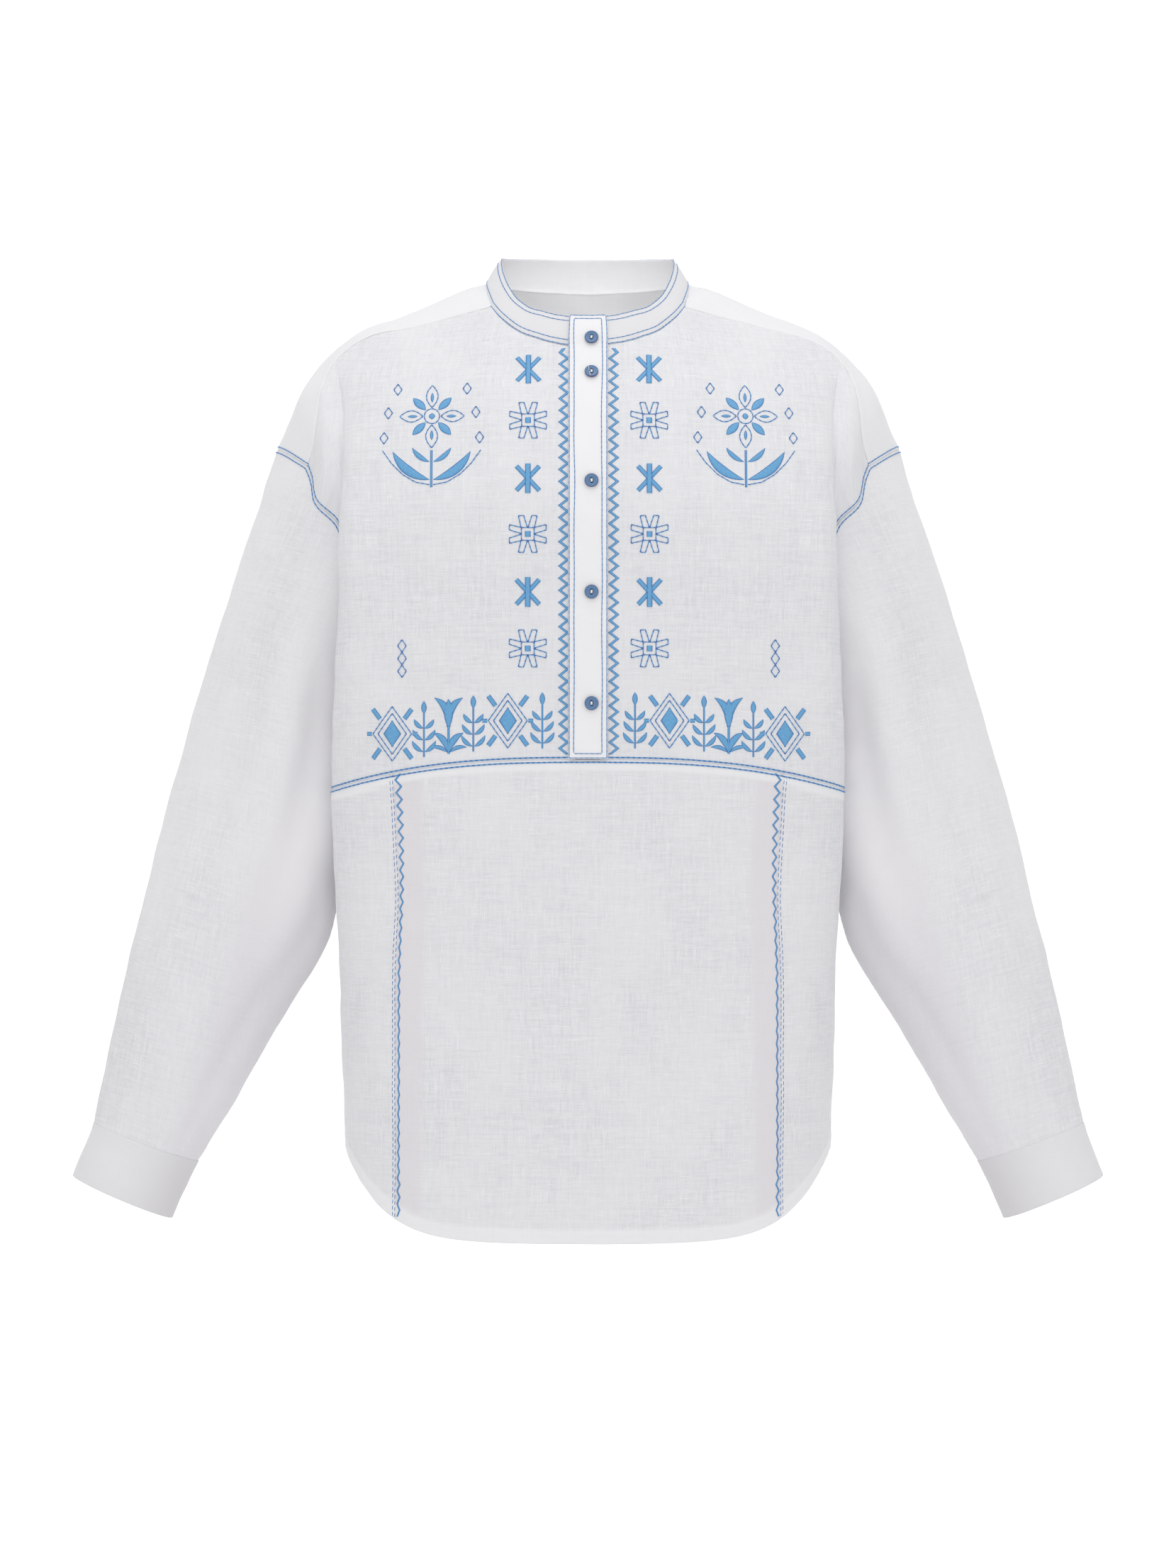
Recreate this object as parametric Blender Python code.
"""Worn vyshyvanka shirt: stand collar, half placket, double yoke, dropped sleeves and a curved hem.

Every cut piece is a thin wall laid on a smooth surface that is worked out from the short tables below.
Sizes are in millimetres, turned to metres when a mesh is made. The origin is the middle of the neck at
the height of the shoulders. The front faces -Y, and the wearer's left is +X.
"""
import math

import bpy
import numpy as np

MM = 0.001

# Cloth and seams
CLOTH = 1.2                 # one layer of linen
DOUBLE = 1.8                # two layers: collar, yoke, cuffs and placket
SEAM_GAP = 0.3              # from one piece to its neighbour
LIFT = 2.1                  # middle of a strip above the middle of the cloth it lies on

# Front of the body
SEAM_X = 150.0              # upright front seams at the yoke line
SEAM_X_HEM = 147.3          # the same seams at the hem
YOKE_LINE_Z = -375.5        # front yoke seam at the centre
YOKE_LINE_DROP = 23.0       # its fall from the centre to the front edge
YOKE_LINE_POWER = 2.7
HEM_Z = -747.0
HEM_RISE_SOFT = 5.8         # the hem rises as a square law
HEM_RISE_ROUND = 64.0       # and as a steep power near the sides
HEM_POWER = 6.2
CHEST_FALL = 180.0          # height over which the chest swings out from the shoulder
CHEST_POWER = 2.2
FRONT_BEND = 2.4            # roundness of the front section
BACK_BEND = 2.2
BACK_SOFT = 0.3             # share of the armhole beside which the back runs softly into the sleeve
PLACKET_COLUMN = 10.0 / SEAM_X
PLACKET_HALF = 15.2
UNDER_HALF = 9.7
SLEEVE_FALL_TOP = 0.25      # share of the bodice side that lies below the underarm

# Front edge of the body, where its front turns back: z, x, y
FRONT_EDGE = np.array([
    (-677.5, 189.1, -35), (-612, 191.6, -39), (-529, 194, -47), (-398.5, 199.1, -58),
    (-335, 196.5, -75), (-267, 195, -84), (-192, 193, -88), (-149, 191, -88),
    (-110, 190.5, -88), (-61, 197, -88)])

# Side seam: z, x, y
SIDE_SEAM = np.array([(-680, 186.2, 5), (-544, 185.5, 10), (-399, 182.7, 15), (-321.7, 180.7, 15)])

# Middle of the front and of the back: z, y
FRONT_MIDDLE = np.array([(-760, -117), (-600, -119), (-375.5, -119.5), (-250, -119), (-150, -118), (0, -116)])
BACK_MIDDLE = np.array([
    (-760, 108), (-550, 105), (-394, 103), (-294, 104), (-214, 104), (-144, 100), (-94, 93)])

# Upper edge of the front, column by column: the neckline up to column 0.5, then the shoulder seam
TOP_EDGE = np.array([
    (0.0, 0, -66.6, -53.5), (0.0667, 10, -66, -53.2), (0.27, 40.9, -59, -46.7), (0.38, 56.9, -50, -39.3),
    (0.45, 69.2, -37, -28), (0.5, 75.5, -25, -19), (0.75, 109.4, -22, -28), (1.0, 139, -24, -35.5),
    (1.4, 166, -24, -41.5), (1.7, 183.8, -26.5, -49.3), (2.0, 197, -31.5, -61), (2.2, 203.2, -37, -71),
    (2.45, 209.5, -48, -88), (2.65, 212, -55, -108), (2.85, 213.8, -57, -128), (3.0, 218.7, -50, -146)])
NECK_END = 5                # row of TOP_EDGE where the neckline meets the shoulder seam

# How sharply the front turns inward behind its edge: row of the bodice, mm
SIDE_PINCH = np.array([(0.0, -12), (0.12, -32), (0.25, -45), (0.42, -34), (0.6, -14), (1.0, -14)])
SKIRT_PINCH_END = 0.35      # share of the skirt where that fades out
TUCK_BACK = 44.0            # reach of the tuck behind the front edge
TUCK_OUT = 42.0             # reach of the cloth that comes out of it to the armhole

# Armhole from the underarm up the front, over the shoulder and down the back: x, y, z
ARMHOLE_FRONT = np.array([
    (180.7, 15, -321.7), (182.6, -30, -299.7), (183.4, -56, -260.9), (186.9, -66, -221.9),
    (194.7, -66, -191.4), (210.7, -62, -174.5), (214.5, -56, -156.8), (218.7, -50, -146)])
ARMHOLE_TOP = np.array([
    (218.7, -50, -146), (236, -28, -135), (246, 5, -129.7), (238, 38, -135), (222, 62, -148)])
ARMHOLE_BACK = np.array([
    (222, 62, -148), (212, 74, -172), (203, 80, -199), (193, 78, -244), (186, 60, -289), (180.7, 15, -321.7)])

# Ribs of the yoke from the front to the back seam. Column 0 is the armhole, 1 the end of the shoulder
# seam and 2 the middle of the back neck. Each rib has three points between its ends.
YOKE_RIBS = [
    (0.00, [(236, -28, -135), (246, 5, -129.7), (238, 38, -135)]),
    (0.15, [(225.5, -28, -92), (229, 6, -99), (224, 40, -113)]),
    (0.32, [(208.5, -9, -63), (211, 20, -68), (209, 48, -93)]),
    (0.52, [(185, 2, -41), (187, 32, -49), (183, 60, -76)]),
    (0.80, [(142, 4, -23), (144, 36, -31), (140, 67, -63)]),
    (1.00, [(96, -1, -5.5), (110, 30, -13), (115, 65, -49)]),
    (1.25, [(95, 19, -3.5), (101, 45, -16), (97, 72, -52)]),
    (1.50, [(80, 52, -8), (78, 67, -27), (69, 81, -60)]),
    (1.75, [(43, 72.5, -12), (41, 80, -33), (35, 87, -63)]),
    (2.00, [(0, 79.5, -18), (0, 85.5, -41), (0, 90, -67)])]

# Back neck edge of the yoke, columns 1 to 2: x, y, z
BACK_NECK = np.array([
    (1.0, 75.5, -25, -19), (1.12, 79.2, -9, -7), (1.25, 79.6, 9, 0.5), (1.5, 71, 42, 3), (1.75, 41, 64, 2),
    (2.0, 0, 72, 0.8)])

# Back yoke seam: yoke column, share of the half width
BACK_SEAM_SHARE = np.array([
    (0.0, 1.0), (0.15, 0.972), (0.32, 0.93), (0.52, 0.80), (0.80, 0.61),
    (1.0, 0.486), (1.25, 0.37), (1.5, 0.252), (1.75, 0.126), (2.0, 0.0)])
BACK_SEAM_MIDDLE_Z = -94.0
BACK_SEAM_POWER = 2.2

# Collar: the foot follows the neckline, and this is its upper edge. Column, x, y, z
COLLAR_TOP = np.array([
    (0.0, 0, -52.8, -30.2), (0.0667, 10, -52.3, -29.8), (0.27, 34, -47, -25.2), (0.38, 48, -38, -19.8),
    (0.45, 57.4, -27, -10.6), (0.5, 62.5, -17, -1.5), (0.62, 67.6, 11, 19.5), (0.75, 61.5, 40, 24.5),
    (0.875, 36, 59, 26.3), (1.0, 0, 66, 26.5)])
COLLAR_BOW = 1.2

# Sleeve sections: way down the sleeve, outer x and z, inner x and z, half depth, middle y
SLEEVE = np.array([
    (55, 266.2, -194, 187, -364, 70, 8), (120, 291.4, -276, 188, -409, 65, 8),
    (189, 313.4, -351, 194, -469, 58, 6), (254.6, 336.3, -431, 205, -516, 52, 3),
    (332.3, 359, -518, 239.5, -574, 46, -1), (407.3, 376.8, -599, 274.2, -634, 40, -4),
    (470.8, 389.8, -660.6, 307.6, -690.4, 33, -6), (520.5, 405.8, -702.5, 328.4, -735.5, 32.5, -8)])
UNDERARM_STEP = 1.9         # the sleeve starts this far out from the body under the arm
UNDERARM_TURN = 80.0        # where that step has run out, in degrees
CUFF_START = 470.8
CUFF_END = 520.5
CUFF_LAP_ANGLE = 250.0      # where the lap's visible end lies round the wrist, in degrees
CUFF_LAP = 26.0             # how far the lap runs, in degrees
CUFF_LAP_LIFT = 2.3
CUFF_LAP_CLIMB = 0.9        # share of the lap over which the cuff climbs onto its own start
CUFF_LAP_COLUMNS = [-0.25, 0.08, 0.5, 1.0]
CUFF_BUTTON_AT = 0.45       # share of the lap, back from its visible end

# Sleeve folds: angle round the sleeve, its change over the length, depth, width in degrees, start, end
SLEEVE_FOLDS = [
    (52, 20, 6.0, 15, 40, 330), (88, -14, 3.5, 16, 150, 455), (128, 6, -2.5, 14, 60, 300),
    (20, 30, 4.0, 13, 120, 430), (285, -18, 6.0, 16, 60, 360), (240, 10, 3.5, 15, 170, 450)]

# Buttons: height z down the placket, all a little towards the wearer's left
BUTTON_HEIGHTS = [-46.3, -74.3, -160.3, -246.7, -333.3]
BUTTON_X = 1.9
BUTTON_RADIUS = 5.7
BUTTON_THICK = 2.4
BUTTON_RIM = 1.3
BUTTON_DISH = 0.6
BUTTON_SIDES = 16

# Columns and rows of the grids
NECK_COLUMNS = [PLACKET_COLUMN, 0.16, 0.25, 0.34, 0.42, 0.5]
SHOULDER_COLUMNS = [0.5, 0.66, 0.83, 1.0, 1.3, 1.6, 1.82, 1.94, 2.0, 2.2, 2.45, 2.7, 3.0]
BACK_NECK_COLUMNS = list(np.linspace(1.0, 2.0, 9))
BACK_YOKE_COLUMNS = [0.0, 0.12, 0.22, 0.32, 0.4, 0.56, 0.68, 0.8, 1.0, 1.25, 1.5, 1.75, 2.0]
UNDERARM_ROWS = 3
ARMHOLE_ROWS = 9
SHOULDER_ROWS = 6
SKIRT_ROWS = 10
SLEEVE_ROWS = 16
CUFF_ROWS = 2
COLLAR_ROWS = 3
ROUND = 2 * ARMHOLE_ROWS + SHOULDER_ROWS
STRIP_COLUMNS = 5
STRIP_ROWS = 14
STRIP_CLOSER_UP = 1.25      # power that brings a strip's rows closer together near the neck
STRIP_END = 0.998           # share of the bodice height that the strips run down

LINEN = (0.80, 0.80, 0.83)
LINEN_DOUBLE = (0.88, 0.88, 0.89)
BUTTON_BLUE = (0.07, 0.16, 0.33)


def mix(a, b, w):
    return a + (b - a) * w


def ease(w):
    w = np.clip(w, 0.0, 1.0)
    return w * w * (3.0 - 2.0 * w)


def follow(stations, points, at):
    """Smooth curve through the points, read at the given stations."""
    s = np.asarray(stations, float)
    p = np.asarray(points, float)
    slope = np.gradient(p, s, axis=0)
    at = np.clip(np.asarray(at, float), s[0], s[-1])
    i = np.clip(np.searchsorted(s, at, side="right") - 1, 0, len(s) - 2)
    step = s[i + 1] - s[i]
    w = (at - s[i]) / step
    if p.ndim == 2:
        w = w[..., None]
        step = step[..., None]
    near = (2 * w**3 - 3 * w**2 + 1) * p[i] + (w**3 - 2 * w**2 + w) * step * slope[i]
    far = (3 * w**2 - 2 * w**3) * p[i + 1] + (w**3 - w**2) * step * slope[i + 1]
    return near + far


def lengths(points):
    """Share of a polyline's length at each of its points."""
    steps = np.linalg.norm(np.diff(points, axis=0), axis=1)
    run = np.concatenate([[0.0], np.cumsum(steps)])
    return run / run[-1]


def along(points, share):
    return follow(lengths(points), points, share)


def bend(share, power):
    """Falls from 0 at the middle to 1 at the edge, square to the edge there."""
    share = np.clip(share, 0.0, 1.0)
    return 1.0 - (1.0 - share**power) ** (1.0 / power)


def point(x, y, z):
    x, y, z = np.broadcast_arrays(x, y, z)
    return np.stack([x, y, z], axis=-1).astype(float)


def arc(p0, m0, p1, m1, w):
    """Cubic from p0 to p1 that leaves along m0 and arrives along m1."""
    w = w[..., None]
    near = (2 * w**3 - 3 * w**2 + 1) * p0 + (w**3 - 2 * w**2 + w) * m0
    return near + (3 * w**2 - 2 * w**3) * p1 + (w**3 - w**2) * m1


def mirrored(points):
    return points * np.array([-1.0, 1.0, 1.0])


def front_edge_x(z):
    return follow(FRONT_EDGE[:, 0], FRONT_EDGE[:, 1], z)


def front_depth(z, share):
    """Depth of the worn front at a height, for a share of its half width."""
    middle = follow(FRONT_MIDDLE[:, 0], FRONT_MIDDLE[:, 1], z)
    edge = follow(FRONT_EDGE[:, 0], FRONT_EDGE[:, 2], z)
    return mix(middle, edge, bend(share, FRONT_BEND))


def across(column, seam_x, edge_x):
    """Half width at a column: 1 is the upright seam and 2 the front edge."""
    return np.where(column <= 1, column * seam_x, mix(seam_x, edge_x, column - 1))


def yoke_line(share):
    return YOKE_LINE_Z - YOKE_LINE_DROP * share**YOKE_LINE_POWER


def hem_line(share):
    return HEM_Z + HEM_RISE_SOFT * share**2 + HEM_RISE_ROUND * share**HEM_POWER


def side_seam(z):
    return point(follow(SIDE_SEAM[:, 0], SIDE_SEAM[:, 1], z), follow(SIDE_SEAM[:, 0], SIDE_SEAM[:, 2], z), z)


def skirt_front(column, row):
    """Front below the yoke seam. Row 0 is the seam and 1 the hem."""
    column, row = np.broadcast_arrays(np.asarray(column, float), np.asarray(row, float))
    side = np.sign(column)
    column = np.abs(column)
    flat = np.minimum(column, 2.0)
    high = across(flat, SEAM_X, front_edge_x(yoke_line(1.0))) / front_edge_x(yoke_line(1.0))
    low = across(flat, SEAM_X_HEM, front_edge_x(hem_line(1.0))) / front_edge_x(hem_line(1.0))
    z = mix(yoke_line(high), hem_line(low), row)
    edge_x = front_edge_x(mix(yoke_line(1.0), hem_line(1.0), row))
    x = across(flat, mix(SEAM_X, SEAM_X_HEM, row), edge_x)
    front = point(x, front_depth(z, x / edge_x), z)
    seam = side_seam(mix(SIDE_SEAM[2, 0], SIDE_SEAM[0, 0], row))
    step = seam - front
    turn = step * np.array([0.0, 1.0, 1.0])
    leave = turn + point(SIDE_PINCH[0, 1] * (1.0 - ease(row / SKIRT_PINCH_END)), 0.0, 0.0)
    round_side = arc(front, leave, seam, turn, np.clip(column - 2.0, 0.0, 1.0))
    result = np.where((column > 2.0)[..., None], round_side, front)
    result[..., 0] *= np.where(side < 0, -1.0, 1.0)
    return result


def top_edge(column):
    """Neckline and shoulder seam, smooth on each side of the corner between them."""
    neck = follow(TOP_EDGE[:NECK_END + 1, 0], TOP_EDGE[:NECK_END + 1, 1:], column)
    shoulder = follow(TOP_EDGE[NECK_END:, 0], TOP_EDGE[NECK_END:, 1:], column)
    return np.where((column <= TOP_EDGE[NECK_END, 0])[..., None], neck, shoulder)


def chest(column, row):
    """Front above the yoke seam, from the middle to the front edge. Row 0 is the yoke seam."""
    top = top_edge(column)
    low_edge = front_edge_x(yoke_line(1.0))
    high_edge = FRONT_EDGE[-1, 1]
    low_x = across(column, SEAM_X, low_edge)
    edge_x = front_edge_x(mix(yoke_line(1.0), FRONT_EDGE[-1, 0], row))
    bow = np.clip(column - 1.0, 0.0, 1.0) * (edge_x - mix(low_edge, high_edge, row))
    x = mix(low_x, top[..., 0], row) + bow
    z = mix(yoke_line(low_x / low_edge), top[..., 2], row)
    fall = np.clip((top[..., 2] - z) / CHEST_FALL, 0.0, 1.0)
    swing = 1.0 - (1.0 - fall) ** CHEST_POWER
    return point(x, mix(top[..., 1], front_depth(z, x / edge_x), swing), z)


def front_rim(row):
    """Side of the bodice front: side seam, then the armhole up to the shoulder seam."""
    below = side_seam(mix(SIDE_SEAM[2, 0], SIDE_SEAM[3, 0], np.clip(row / SLEEVE_FALL_TOP, 0.0, 1.0)))
    above = along(ARMHOLE_FRONT, np.clip((row - SLEEVE_FALL_TOP) / (1.0 - SLEEVE_FALL_TOP), 0.0, 1.0))
    return np.where((row <= SLEEVE_FALL_TOP)[..., None], below, above)


def tucked_side(share, row):
    """From the front edge back to the side, with the tuck that falls from the shoulder."""
    edge = chest(np.full_like(row, 2.0), row)
    rim = front_rim(row)
    step = rim - edge
    tuck = ease((row - 0.22) / 0.33)
    pinch = follow(SIDE_PINCH[:, 0], SIDE_PINCH[:, 1], row)
    leave = point(pinch, mix(step[..., 1], TUCK_BACK, tuck), step[..., 2])
    arrive = point(mix(0.0, TUCK_OUT, tuck), mix(step[..., 1], 6.0, tuck), step[..., 2])
    return arc(edge, leave, rim, arrive, share)


def bodice_front(column, row):
    """Whole bodice front. Columns run from the middle to 3 at the side, rows from the seam up."""
    column, row = np.broadcast_arrays(np.asarray(column, float), np.asarray(row, float))
    side = np.sign(column)
    column = np.abs(column)
    front = chest(np.minimum(column, 2.0), row)
    share = np.clip(column - 2.0, 0.0, 1.0)
    wrap = tucked_side(share, row)
    miss = top_edge(np.maximum(column, 2.0)) - tucked_side(share, np.ones_like(row))
    wrap = wrap + miss * ease((row - 0.55) / 0.45)[..., None]
    result = np.where((column > 2.0)[..., None], wrap, front)
    result[..., 0] *= np.where(side < 0, -1.0, 1.0)
    return result


def back_rim(row):
    """Side of the back: armhole for rows 0 to 1, then the side seam to row 3 at the hem."""
    armhole = along(ARMHOLE_BACK, np.clip(row, 0.0, 1.0))
    heights = [SIDE_SEAM[3, 0], SIDE_SEAM[2, 0], SIDE_SEAM[0, 0]]
    seam = side_seam(np.interp(row, [1.0, 2.0, 3.0], heights))
    return np.where((row <= 1.0)[..., None], armhole, seam)


def back_panel(share, row):
    """Back below its yoke seam. Share runs from the middle to the side."""
    share, row = np.broadcast_arrays(np.asarray(share, float), np.asarray(row, float))
    side = np.sign(share)
    share = np.abs(share)
    rim = back_rim(row)
    heights = [BACK_SEAM_MIDDLE_Z, SIDE_SEAM[3, 0], SIDE_SEAM[2, 0], HEM_Z]
    middle_z = np.interp(row, [0.0, 1.0, 2.0, 3.0], heights)
    power = np.where(row < 2.0, BACK_SEAM_POWER, HEM_POWER)
    z = mix(middle_z, rim[..., 2], share**power)
    middle_y = follow(BACK_MIDDLE[:, 0], BACK_MIDDLE[:, 1], z)
    curve = mix(share**2, bend(share, BACK_BEND), ease((row - BACK_SOFT) / (1.0 - BACK_SOFT)))
    y = mix(middle_y, rim[..., 1], curve)
    return point(rim[..., 0] * share * np.where(side < 0, -1.0, 1.0), y, z)


def yoke_front(column):
    """Front boundary of the yoke: the shoulder seam, then the back neck edge."""
    seam = top_edge(3.0 - 2.5 * np.minimum(column, 1.0))
    neck = follow(BACK_NECK[:, 0], BACK_NECK[:, 1:], column)
    return np.where((column <= 1.0)[..., None], seam, neck)


def yoke_back(column):
    return back_panel(follow(BACK_SEAM_SHARE[:, 0], BACK_SEAM_SHARE[:, 1], column), np.zeros_like(column))


def yoke_surface(column, row):
    """Half of the yoke, from its front boundary at row 0 to the back seam at row 1."""
    column, row = np.broadcast_arrays(np.asarray(column, float), np.asarray(row, float))
    stations = [rib[0] for rib in YOKE_RIBS]
    ribs = [yoke_front(column)]
    for level in range(3):
        ribs.append(follow(stations, [rib[1][level] for rib in YOKE_RIBS], column))
    ribs.append(yoke_back(column))
    ribs = np.stack(ribs)
    spots = np.linspace(0.0, 1.0, len(ribs))
    slope = np.gradient(ribs, spots, axis=0)
    i = np.clip((row * (len(ribs) - 1)).astype(int), 0, len(ribs) - 2)
    w = row * (len(ribs) - 1) - i
    pick = np.take_along_axis
    index = i[None, ..., None]
    step = 1.0 / (len(ribs) - 1)
    start = pick(ribs, index, 0)[0]
    end = pick(ribs, index + 1, 0)[0]
    return arc(start, pick(slope, index, 0)[0] * step, end, pick(slope, index + 1, 0)[0] * step, w)


def armhole(turn):
    """Closed armhole for turns of 0 to 360 degrees, from the underarm up the front."""
    front_end = 360.0 * ARMHOLE_ROWS / ROUND
    top_end = 360.0 * (ARMHOLE_ROWS + SHOULDER_ROWS) / ROUND
    front = along(ARMHOLE_FRONT, np.clip(turn / front_end, 0.0, 1.0))
    over = np.clip((turn - front_end) / (top_end - front_end), 0.0, 1.0)
    top = follow(np.linspace(0.0, 1.0, len(ARMHOLE_TOP)), ARMHOLE_TOP, over)
    back = along(ARMHOLE_BACK, np.clip((turn - top_end) / (360.0 - top_end), 0.0, 1.0))
    result = np.where((turn <= front_end)[..., None], front, top)
    return np.where((turn >= top_end)[..., None], back, result)


def sleeve_section(way, turn):
    """Plain oval of the sleeve at one of its table's rows."""
    _, outer_x, outer_z, inner_x, inner_z, half_depth, middle_y = way
    angle = np.radians(turn)
    x = (outer_x + inner_x) / 2 - (outer_x - inner_x) / 2 * np.cos(angle)
    z = (outer_z + inner_z) / 2 - (outer_z - inner_z) / 2 * np.cos(angle)
    return point(x, middle_y - half_depth * np.sin(angle), z)


def sleeve_surface(turn, way):
    """Sleeve and cuff. Turn goes round from the underarm, and way runs down from the armhole."""
    turn, way = np.broadcast_arrays(np.asarray(turn, float), np.asarray(way, float))
    stations = np.concatenate([[0.0], SLEEVE[:, 0]])
    under = ease((UNDERARM_TURN - np.abs((turn + 180.0) % 360.0 - 180.0)) / 30.0)
    rings = [armhole(turn) + point(under * UNDERARM_STEP, 0.0, 0.0)]
    rings += [sleeve_section(section, turn) for section in SLEEVE]
    rings = np.stack(rings)
    slope = np.gradient(rings, stations, axis=0)
    i = np.clip(np.searchsorted(stations, way, side="right") - 1, 0, len(stations) - 2)
    step = stations[i + 1] - stations[i]
    index = i[None, ..., None]
    pick = np.take_along_axis
    start = pick(rings, index, 0)[0]
    end = pick(rings, index + 1, 0)[0]
    leave = pick(slope, index, 0)[0] * step[..., None]
    arrive = pick(slope, index + 1, 0)[0] * step[..., None]
    surface = arc(start, leave, end, arrive, (way - stations[i]) / step)
    away = surface - sleeve_middle(way)
    away = away / np.linalg.norm(away, axis=-1, keepdims=True)
    depth = np.zeros_like(way)
    for angle, drift, deep, wide, first, last in SLEEVE_FOLDS:
        run = (way - first) / (last - first)
        reach = np.sin(np.pi * np.clip(run, 0.0, 1.0)) ** 0.8
        gap = (turn - angle - drift * run + 180.0) % 360.0 - 180.0
        depth = depth + deep * reach * np.exp(-(gap / wide) ** 2)
    return surface - away * depth[..., None]


def sleeve_middle(way):
    """Line through the middles of the sleeve's sections."""
    ring = armhole(np.linspace(0.0, 345.0, 24)).mean(axis=0)
    rows = [(ring[0], ring[1], ring[2])]
    for section in SLEEVE:
        rows.append(((section[1] + section[3]) / 2, section[6], (section[2] + section[4]) / 2))
    return follow(np.concatenate([[0.0], SLEEVE[:, 0]]), rows, way)


def collar_surface(column, row):
    """Half of the stand collar. Column 0.5 is the shoulder seam, 1 the middle back; row 1 is the top."""
    column, row = np.broadcast_arrays(np.asarray(column, float), np.asarray(row, float))
    side = np.sign(column)
    column = np.abs(column)
    front = top_edge(np.minimum(column, 0.5))
    back = follow(BACK_NECK[:, 0], BACK_NECK[:, 1:], np.maximum(2.0 * column, 1.0))
    foot = np.where((column <= 0.5)[..., None], front, back)
    top = follow(COLLAR_TOP[:, 0], COLLAR_TOP[:, 1:], column)
    bow = foot * np.array([1.0, 1.0, 0.0])
    bow = bow / np.linalg.norm(bow, axis=-1, keepdims=True)
    result = foot + (top - foot) * row[..., None] + bow * (COLLAR_BOW * 4.0 * row * (1.0 - row))[..., None]
    result[..., 0] *= np.where(side < 0, -1.0, 1.0)
    return result


def grid(surface, columns, rows):
    """Points of a surface, one line of the array for each row."""
    c, r = np.meshgrid(np.asarray(columns, float), np.asarray(rows, float))
    return surface(c, r)


class Wall:
    """A cut piece: a grid of points in the middle of its cloth."""

    def __init__(self, name, points, thick, look, closed=False, own_middle=False):
        self.name = name
        self.points = points
        self.thick = thick
        self.look = look
        self.closed = closed
        if closed:
            self.points = points[:, :-1]
        middle = self.points * np.array([0.0, 0.0, 1.0])
        if own_middle:
            middle = self.points.mean(axis=1, keepdims=True)
        away = self.points - middle
        if np.sum(self.own_normals() * away) < 0:
            self.points = self.points[:, ::-1]

    def own_normals(self):
        """Normals of the grid's faces, added up at its points."""
        p = self.points
        q = np.concatenate([p, p[:, :1]], axis=1) if self.closed else p
        face = np.cross(q[1:, 1:] - q[:-1, :-1], q[1:, :-1] - q[:-1, 1:])
        total = np.zeros_like(q)
        total[:-1, :-1] += face
        total[1:, :-1] += face
        total[:-1, 1:] += face
        total[1:, 1:] += face
        if self.closed:
            total[:, 0] += total[:, -1]
            total = total[:, :-1]
        return total


def shared_normals(walls):
    """Normal at every point, the same on both pieces along a seam."""
    sums = {}
    keys = []
    for wall in walls:
        own = wall.own_normals().reshape(-1, 3)
        marks = [tuple(mark) for mark in np.round(wall.points.reshape(-1, 3), 2)]
        keys.append(marks)
        for mark, normal in zip(marks, own):
            sums[mark] = sums.get(mark, np.zeros(3)) + normal
    result = []
    for wall, marks in zip(walls, keys):
        normals = np.array([sums[mark] for mark in marks])
        normals = normals / np.linalg.norm(normals, axis=1, keepdims=True)
        result.append(normals.reshape(wall.points.shape))
    return result


def drawn_in(points, normals, closed):
    """Middle points with the edges drawn in by half a seam gap."""
    result = points.copy()
    ends = [(0, 1), (-1, -2)]
    for edge, inner in ends:
        way = points[inner] - points[edge]
        way = way - normals[edge] * np.sum(way * normals[edge], axis=-1, keepdims=True)
        result[edge] += way / np.linalg.norm(way, axis=-1, keepdims=True) * SEAM_GAP / 2
    if not closed:
        for edge, inner in ends:
            way = points[:, inner] - points[:, edge]
            way = way - normals[:, edge] * np.sum(way * normals[:, edge], axis=-1, keepdims=True)
            result[:, edge] += way / np.linalg.norm(way, axis=-1, keepdims=True) * SEAM_GAP / 2
    return result


def split_cell(points, a, b, d, e):
    """Two triangles of a four-sided cell, cut along its shorter diagonal."""
    if np.linalg.norm(points[a] - points[d]) <= np.linalg.norm(points[b] - points[e]):
        return [(a, b, d), (a, d, e)]
    return [(a, b, e), (b, d, e)]


def wall_faces(points, outer, inner, closed):
    """Triangles of the outer side, the inner side and the rims."""
    rows, columns = points.shape[:2]
    flat = points.reshape(-1, 3)
    skins = np.concatenate([outer, inner])
    count = rows * columns
    last = columns if closed else columns - 1

    def at(row, column):
        return row * columns + column % columns

    faces = []
    for r in range(rows - 1):
        for c in range(last):
            a, b, d, e = at(r, c), at(r, c + 1), at(r + 1, c + 1), at(r + 1, c)
            cell = split_cell(flat, a, b, d, e)
            faces += cell
            faces += [(count + k, count + j, count + i) for i, j, k in cell]
    rim = [(at(0, c + 1), at(0, c)) for c in range(last)]
    rim += [(at(rows - 1, c), at(rows - 1, c + 1)) for c in range(last)]
    if not closed:
        rim += [(at(r, 0), at(r + 1, 0)) for r in range(rows - 1)]
        rim += [(at(r + 1, columns - 1), at(r, columns - 1)) for r in range(rows - 1)]
    for a, b in rim:
        faces += split_cell(skins, a, b, count + b, count + a)
    return faces


def material(name, colour, roughness):
    look = bpy.data.materials.new(name)
    look.use_nodes = True
    shader = look.node_tree.nodes["Principled BSDF"]
    shader.inputs["Base Color"].default_value = (*colour, 1.0)
    shader.inputs["Roughness"].default_value = roughness
    shader.inputs["Metallic"].default_value = 0.0
    return look


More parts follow.
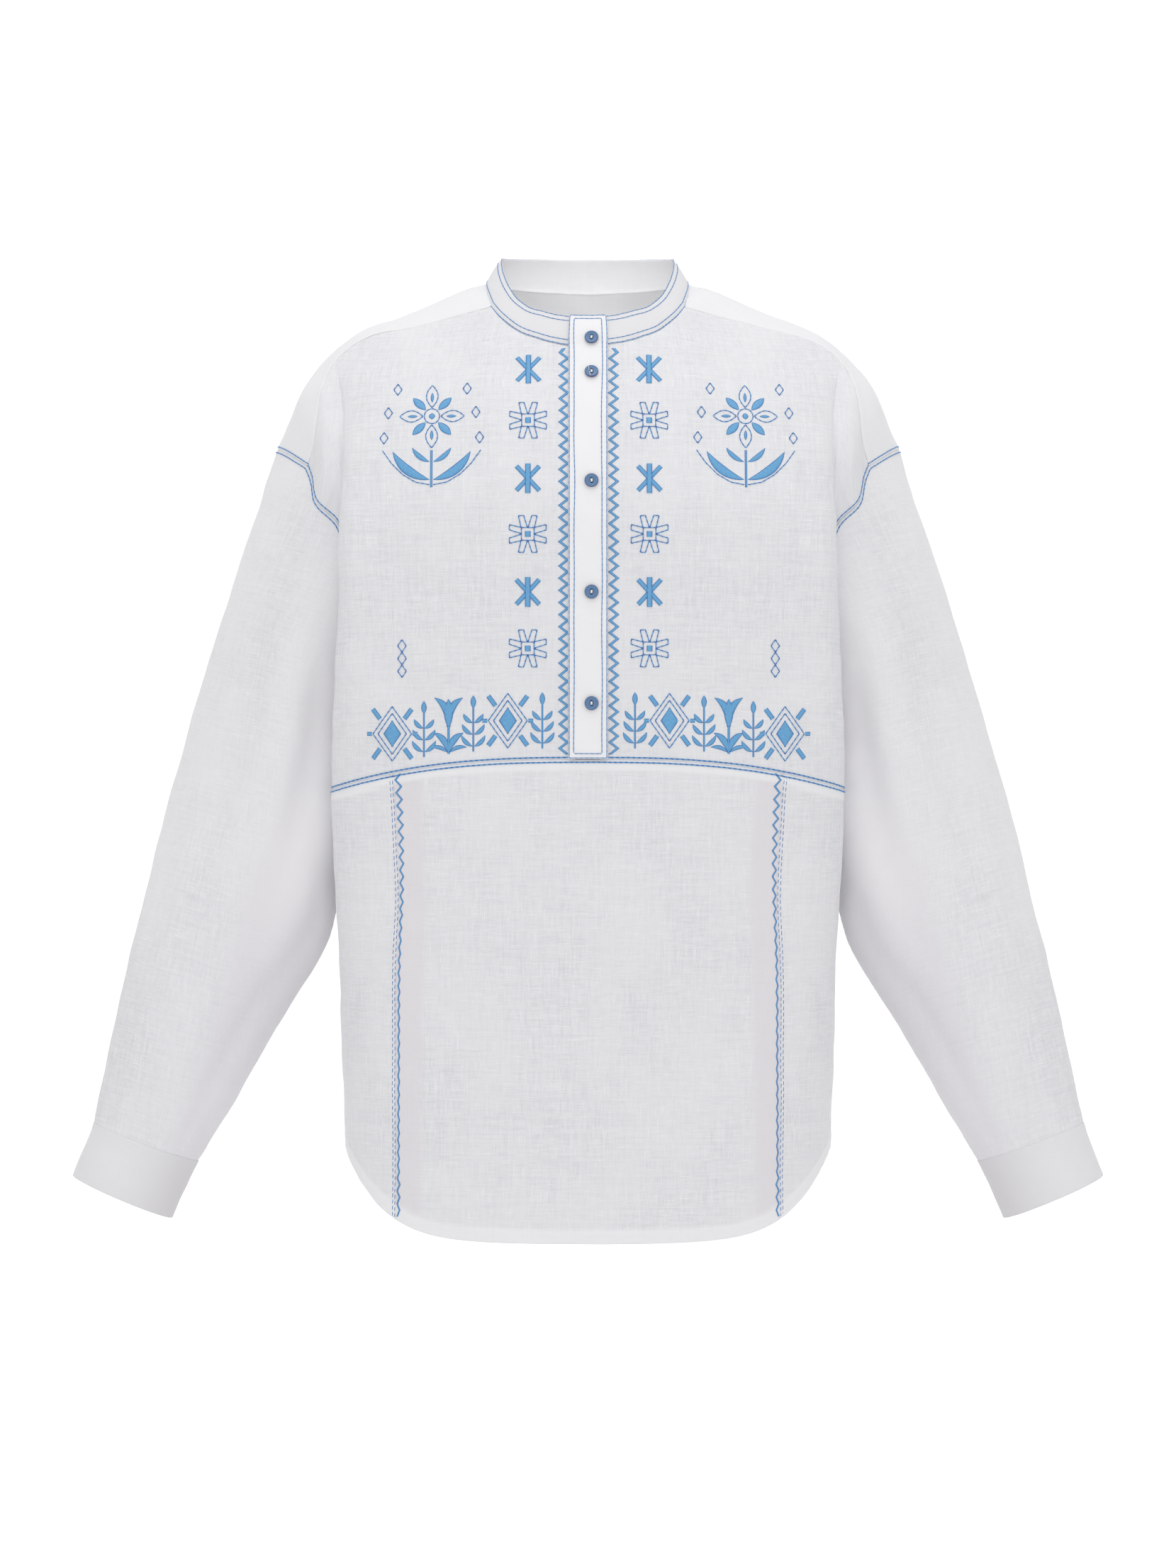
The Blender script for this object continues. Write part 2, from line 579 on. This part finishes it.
def make_object(name, points, faces, colour, roughness=0.9):
    mesh = bpy.data.meshes.new(name)
    mesh.from_pydata([tuple(p) for p in np.asarray(points) * MM], [], faces)
    mesh.validate()
    mesh.materials.append(material(name, colour, roughness))
    thing = bpy.data.objects.new(name, mesh)
    bpy.context.scene.collection.objects.link(thing)
    mesh.shade_smooth()
    mesh.set_sharp_from_angle(angle=math.radians(50))
    return thing


def make_wall(wall, normals):
    middle = drawn_in(wall.points, normals, wall.closed)
    outer = (middle + normals * wall.thick / 2).reshape(-1, 3)
    inner = (middle - normals * wall.thick / 2).reshape(-1, 3)
    faces = wall_faces(wall.points, outer, inner, wall.closed)
    make_object(wall.name, np.concatenate([outer, inner]), faces, wall.look)


def both_sides(name, points, thick, look, **rest):
    """A piece on the wearer's left and its mirror image on the right."""
    return [Wall(name + "_left", points, thick, look, **rest),
            Wall(name + "_right", mirrored(points), thick, look, **rest)]


def body_walls():
    rows = np.linspace(0.0, 1.0, UNDERARM_ROWS + ARMHOLE_ROWS + 1)
    skirt = np.linspace(0.0, 1.0, SKIRT_ROWS + 1)
    half = NECK_COLUMNS + SHOULDER_COLUMNS[1:]
    middle = [c for c in half if c <= 1.0]
    middle = [-c for c in reversed(middle)] + [0.0] + middle
    walls = both_sides("front_upper", grid(bodice_front, half, rows), CLOTH, LINEN)
    walls.append(Wall("front_lower_centre", grid(skirt_front, middle, skirt), CLOTH, LINEN))
    sides = [c for c in half if c >= 1.0]
    walls += both_sides("front_lower_side", grid(skirt_front, sides, skirt), CLOTH, LINEN)
    shares = follow(BACK_SEAM_SHARE[:, 0], BACK_SEAM_SHARE[:, 1], BACK_YOKE_COLUMNS)
    shares = np.concatenate([shares, -shares[-2::-1]])
    down = np.concatenate([
        np.linspace(0.0, 1.0, ARMHOLE_ROWS + 1), np.linspace(1.0, 2.0, UNDERARM_ROWS + 1)[1:],
        np.linspace(2.0, 3.0, SKIRT_ROWS + 1)[1:]])
    walls.append(Wall("back", grid(back_panel, shares, down), CLOTH, LINEN))
    return walls


def yoke_wall():
    shoulder = [(3.0 - c) / 2.5 for c in reversed(SHOULDER_COLUMNS)]
    half = grid(yoke_surface, shoulder + BACK_NECK_COLUMNS[1:], np.linspace(0.0, 1.0, SHOULDER_ROWS + 1))
    return Wall("yoke", np.concatenate([half, mirrored(half)[:, -2::-1]], axis=1), DOUBLE, LINEN_DOUBLE)


def sleeve_walls():
    turns = np.linspace(0.0, 360.0, ROUND + 1)
    ways = np.linspace(0.0, CUFF_START, SLEEVE_ROWS + 1)
    return both_sides("sleeve", grid(sleeve_surface, turns, ways), CLOTH, LINEN, closed=True, own_middle=True)


def cuff_points(turns, ways):
    """Cuff that goes once round and laps over its own start."""
    points = grid(sleeve_surface, turns % 360.0, ways)
    centre = grid(lambda t, w: sleeve_middle(w), turns, ways)
    away = points - centre
    away = away / np.linalg.norm(away, axis=-1, keepdims=True)
    climb = CUFF_LAP * CUFF_LAP_CLIMB
    lap = ease((turns - turns[0] - 360.0 + climb) / climb)
    return points + away * (lap * CUFF_LAP_LIFT)[None, :, None]


def cuff_walls():
    start = CUFF_LAP_ANGLE - CUFF_LAP
    whole = np.arange(start, start + 360.0, 360.0 / ROUND)
    lap = start + 360.0 + CUFF_LAP * np.array(CUFF_LAP_COLUMNS)
    turns = np.sort(np.concatenate([whole, lap]))
    ways = np.linspace(CUFF_START, CUFF_END, CUFF_ROWS + 1)
    return both_sides("cuff", cuff_points(turns, ways), DOUBLE, LINEN_DOUBLE, own_middle=True)


def collar_wall():
    half = NECK_COLUMNS + [c / 2.0 for c in BACK_NECK_COLUMNS[1:]]
    left = grid(collar_surface, half, np.linspace(0.0, 1.0, COLLAR_ROWS + 1))
    whole = np.concatenate([left, mirrored(left)[:, -2::-1]], axis=1)
    return Wall("collar_band", whole, DOUBLE, LINEN_DOUBLE)


def middle_strip(half_width):
    """Points down the middle front, from the collar's top to the yoke seam."""
    columns = np.linspace(-half_width, half_width, STRIP_COLUMNS) / SEAM_X
    collar = grid(collar_surface, columns, np.linspace(1.0, 0.0, COLLAR_ROWS + 1))
    down = np.linspace(0.0, 1.0, STRIP_ROWS + 1)[1:] ** STRIP_CLOSER_UP
    heights = 1.0 - down * STRIP_END
    return np.concatenate([collar, grid(bodice_front, columns, heights)])


def raised(points, lift):
    """The same points moved out along their own normals."""
    sheet = Wall("", points, CLOTH, LINEN)
    normals = sheet.own_normals()
    normals = normals / np.linalg.norm(normals, axis=-1, keepdims=True)
    return sheet.points + normals * lift


def button_mesh(centre, normal, up):
    """Turned button: flat back, round edge, raised rim and a shallow dish."""
    side = np.cross(up, normal)
    side = side / np.linalg.norm(side)
    up = np.cross(normal, side)
    half = BUTTON_THICK / 2
    profile = [
        (BUTTON_RADIUS * 0.82, -half), (BUTTON_RADIUS, -half * 0.2), (BUTTON_RADIUS, half * 0.5),
        (BUTTON_RADIUS - BUTTON_RIM * 0.5, half), (BUTTON_RADIUS - BUTTON_RIM, half * 0.8),
        (BUTTON_RADIUS - BUTTON_RIM * 1.7, half - BUTTON_DISH)]
    points = []
    for radius, height in profile:
        for k in range(BUTTON_SIDES):
            angle = 2 * math.pi * k / BUTTON_SIDES
            points.append(centre + radius * (math.cos(angle) * side + math.sin(angle) * up) + height * normal)
    faces = []
    for ring in range(len(profile) - 1):
        for k in range(BUTTON_SIDES):
            a = ring * BUTTON_SIDES + k
            b = ring * BUTTON_SIDES + (k + 1) % BUTTON_SIDES
            faces += [(a, b, b + BUTTON_SIDES), (a, b + BUTTON_SIDES, a + BUTTON_SIDES)]
    top = (len(profile) - 1) * BUTTON_SIDES
    faces.append(tuple(reversed(range(BUTTON_SIDES))))
    faces.append(tuple(top + k for k in range(BUTTON_SIDES)))
    return points, faces


def placket_buttons(strip):
    """One button on the placket at each named height."""
    sheet = Wall("", strip, DOUBLE, LINEN_DOUBLE)
    normals = sheet.own_normals()
    normals = normals / np.linalg.norm(normals, axis=-1, keepdims=True)
    middle = sheet.points[:, sheet.points.shape[1] // 2]
    facing = normals[:, sheet.points.shape[1] // 2]
    order = np.argsort(middle[:, 2])
    for number, height in enumerate(BUTTON_HEIGHTS, start=1):
        spot = follow(middle[order, 2], middle[order], height)
        normal = follow(middle[order, 2], facing[order], height)
        normal = normal / np.linalg.norm(normal)
        out = DOUBLE / 2 + SEAM_GAP + BUTTON_THICK / 2
        centre = spot + normal * out + np.array([BUTTON_X, 0.0, 0.0])
        points, faces = button_mesh(centre, normal, np.array([0.0, 0.0, 1.0]))
        make_object("button_%d" % number, points, faces, BUTTON_BLUE, 0.45)


def cuff_buttons():
    """One button in the middle of each cuff's lap."""
    turn = CUFF_LAP_ANGLE - CUFF_LAP * CUFF_BUTTON_AT
    way = (CUFF_START + CUFF_END) / 2
    around = sleeve_surface(np.array([turn, turn + 4.0, turn]), np.array([way, way, way + 5.0]))
    normal = np.cross(around[1] - around[0], around[2] - around[0])
    away = around[0] - sleeve_middle(np.array([way]))[0]
    normal = normal / np.linalg.norm(normal) * np.sign(np.dot(normal, away))
    out = CUFF_LAP_LIFT + DOUBLE / 2 + SEAM_GAP + BUTTON_THICK / 2
    down = around[2] - around[0]
    for side, flip in (("left", 1.0), ("right", -1.0)):
        turned = np.array([flip, 1.0, 1.0])
        points, faces = button_mesh((around[0] + normal * out) * turned, normal * turned, down * turned)
        make_object("cuff_button_" + side, points, faces, BUTTON_BLUE, 0.45)


def main():
    for thing in list(bpy.data.objects):
        bpy.data.objects.remove(thing, do_unlink=True)
    seamed = body_walls() + [yoke_wall(), collar_wall()] + sleeve_walls()
    for wall, normals in zip(seamed, shared_normals(seamed)):
        make_wall(wall, normals)
    over = raised(middle_strip(PLACKET_HALF), LIFT)
    loose = cuff_walls()
    loose.append(Wall("placket", over, DOUBLE, LINEN_DOUBLE))
    loose.append(Wall("placket_under", middle_strip(UNDER_HALF), CLOTH, LINEN_DOUBLE))
    for wall in loose:
        make_wall(wall, shared_normals([wall])[0])
    placket_buttons(over)
    cuff_buttons()


main()
